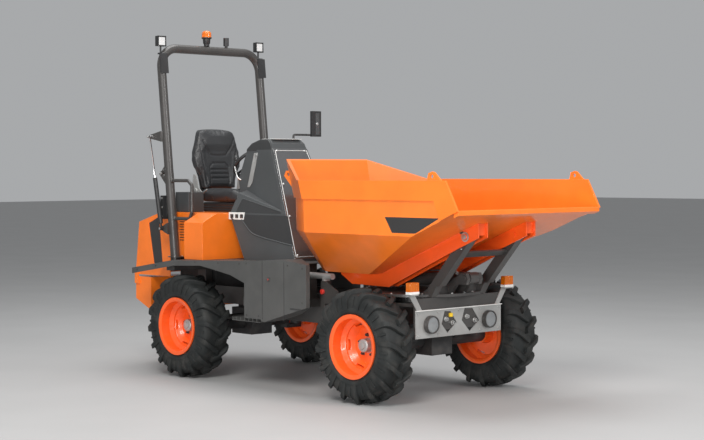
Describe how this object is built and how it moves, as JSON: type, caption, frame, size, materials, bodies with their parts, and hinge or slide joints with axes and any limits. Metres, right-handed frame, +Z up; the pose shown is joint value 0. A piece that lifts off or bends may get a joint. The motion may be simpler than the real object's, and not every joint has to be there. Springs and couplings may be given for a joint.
{
  "type": "site dumper",
  "caption": "Ride-on swivel-skip site dumper: rear-steered wheels, a skip that slews and tips forward, a folding roll-over hoop and a rear hood that opens.",
  "frame": {"origin": "on the ground, under the middle of the machine's bounding box", "axes": "+X forward, towards the skip's lip; +Y to the machine's left; +Z up"},
  "size_m": [3.732, 1.48, 2.6342],
  "materials": {
    "orange": "gloss",
    "black_paint": "satin",
    "grey_paint": "satin",
    "charcoal_paint": "satin",
    "rim_paint": "satin",
    "tyre": "matte",
    "dark_plastic": "matte",
    "black_plastic": "matte",
    "seat_vinyl": "satin",
    "front_panel": "gloss",
    "lamp": "gloss",
    "amber": "gloss",
    "rod_chrome": "polished",
    "casting": "matte"
  },
  "bodies": {
    "chassis": {"chassis_frame": "black_paint", "front_axle": "casting", "rear_axle": "casting", "slew_ring": "black_paint", "headlight_panel": "grey_paint", "headlights": "lamp", "marker_lamps": "lamp", "platform": "charcoal_paint", "side_boxes": "charcoal_paint", "seat_box": "orange", "engine_block": "casting", "counterweight": "orange", "rops_posts": "black_paint", "tail_lamps": "black_plastic", "seat_base": "dark_plastic", "seat": "seat_vinyl", "console_cowl": "dark_plastic", "console_base": "dark_plastic", "front_plate": "front_panel", "steering_column": "black_paint", "mirror": "black_plastic", "accumulator": "grey_paint"},
    "wheel_front_left": {"tyre_front_left": "tyre", "rim_front_left": "rim_paint"},
    "wheel_front_right": {"tyre_front_right": "tyre", "rim_front_right": "rim_paint"},
    "wheel_rear_left": {"tyre_rear_left": "tyre", "rim_rear_left": "rim_paint"},
    "wheel_rear_right": {"tyre_rear_right": "tyre", "rim_rear_right": "rim_paint"},
    "knuckle_left": {"knuckle_left": "casting"},
    "knuckle_right": {"knuckle_right": "casting"},
    "steering_rod": {"steering_rod": "black_paint"},
    "steering_wheel": {"steering_wheel": "black_plastic"},
    "swing_frame": {"swing_frame": "black_paint"},
    "tip_barrel": {"tip_cylinder_barrel": "black_paint"},
    "tip_rod": {"tip_cylinder_rod": "rod_chrome"},
    "skip": {"skip_shell": "orange", "skip_ribs": "orange"},
    "hoop": {"rops_hoop": "black_paint", "work_lights": "black_plastic", "beacon": "amber"},
    "strut_barrel": {"strut_barrel": "black_paint"},
    "strut_rod": {"strut_rod": "rod_chrome"},
    "hood": {"rear_hood": "orange"}
  },
  "joints": [
    {"name": "wheel_front_left", "type": "hinge", "parent": "chassis", "child": "wheel_front_left", "pos_m": [0.95, 0.6075, 0.379], "axis": [0, 1, 0], "continuous": true},
    {"name": "wheel_front_right", "type": "hinge", "parent": "chassis", "child": "wheel_front_right", "pos_m": [0.95, -0.6075, 0.379], "axis": [0, 1, 0], "continuous": true},
    {"name": "steer_left", "type": "hinge", "parent": "chassis", "child": "knuckle_left", "pos_m": [-0.95, 0.448, 0.379], "axis": [0, 0, 1], "range_deg": [-32, 32]},
    {"name": "steer_right", "type": "hinge", "parent": "chassis", "child": "knuckle_right", "pos_m": [-0.95, -0.448, 0.379], "axis": [0, 0, 1], "range_deg": [-32.1, 32.1]},
    {"name": "steering_rod", "type": "slide", "parent": "chassis", "child": "steering_rod", "axis": [0, 1, 0], "range_m": [-0.0771, 0.0771]},
    {"name": "steering_wheel", "type": "hinge", "parent": "chassis", "child": "steering_wheel", "pos_m": [-0.935, 0, 1.59], "axis": [-0.6691, 0, 0.7431], "range_deg": [-520, 520]},
    {"name": "wheel_rear_left", "type": "hinge", "parent": "knuckle_left", "child": "wheel_rear_left", "pos_m": [-0.95, 0.6075, 0.379], "axis": [0, 1, 0], "continuous": true},
    {"name": "wheel_rear_right", "type": "hinge", "parent": "knuckle_right", "child": "wheel_rear_right", "pos_m": [-0.95, -0.6075, 0.379], "axis": [0, 1, 0], "continuous": true},
    {"name": "swing", "type": "hinge", "parent": "chassis", "child": "swing_frame", "pos_m": [0.85, 0, 0.69], "axis": [0, 0, 1], "range_deg": [-90, 90]},
    {"name": "tip", "type": "hinge", "parent": "swing_frame", "child": "skip", "pos_m": [1.545, 0, 1.1], "axis": [0, 1, 0], "range_deg": [0, 65]},
    {"name": "tip_barrel", "type": "hinge", "parent": "swing_frame", "child": "tip_barrel", "pos_m": [1.34, 0, 0.812], "axis": [0, 1, 0], "range_deg": [0, 67.13]},
    {"name": "tip_rod", "type": "slide", "parent": "tip_barrel", "child": "tip_rod", "axis": [-0.9983, 0, -0.0586], "range_m": [0, 0.3788]},
    {"name": "rops_fold", "type": "hinge", "parent": "chassis", "child": "hoop", "pos_m": [-1.40539, 0, 1.51], "axis": [0, -1, 0], "range_deg": [0, 85]},
    {"name": "strut_barrel", "type": "hinge", "parent": "chassis", "child": "strut_barrel", "pos_m": [-1.35955, -0.553, 1.088], "axis": [0, -1, 0], "range_deg": [0, 32.51]},
    {"name": "strut_rod", "type": "slide", "parent": "strut_barrel", "child": "strut_rod", "axis": [0.2009, 0, -0.9796], "range_m": [0, 0.236]},
    {"name": "hood", "type": "hinge", "parent": "chassis", "child": "hood", "pos_m": [-1.844, 0, 0.734], "axis": [0, -1, 0], "range_deg": [0, 65]}
  ],
  "couplings": [
    {"joint": "steer_right", "follows": "steer_left", "ratio": 1},
    {"joint": "steering_rod", "follows": "steer_left", "m_per_rad": 0.1376},
    {"joint": "steering_wheel", "follows": "steer_left", "ratio": 16},
    {"joint": "tip_barrel", "follows": "tip", "ratio": 1.0312},
    {"joint": "tip_rod", "follows": "tip", "m_per_rad": 0.33348},
    {"joint": "strut_barrel", "follows": "rops_fold", "ratio": 0.38132},
    {"joint": "strut_rod", "follows": "rops_fold", "m_per_rad": 0.15872}
  ]
}
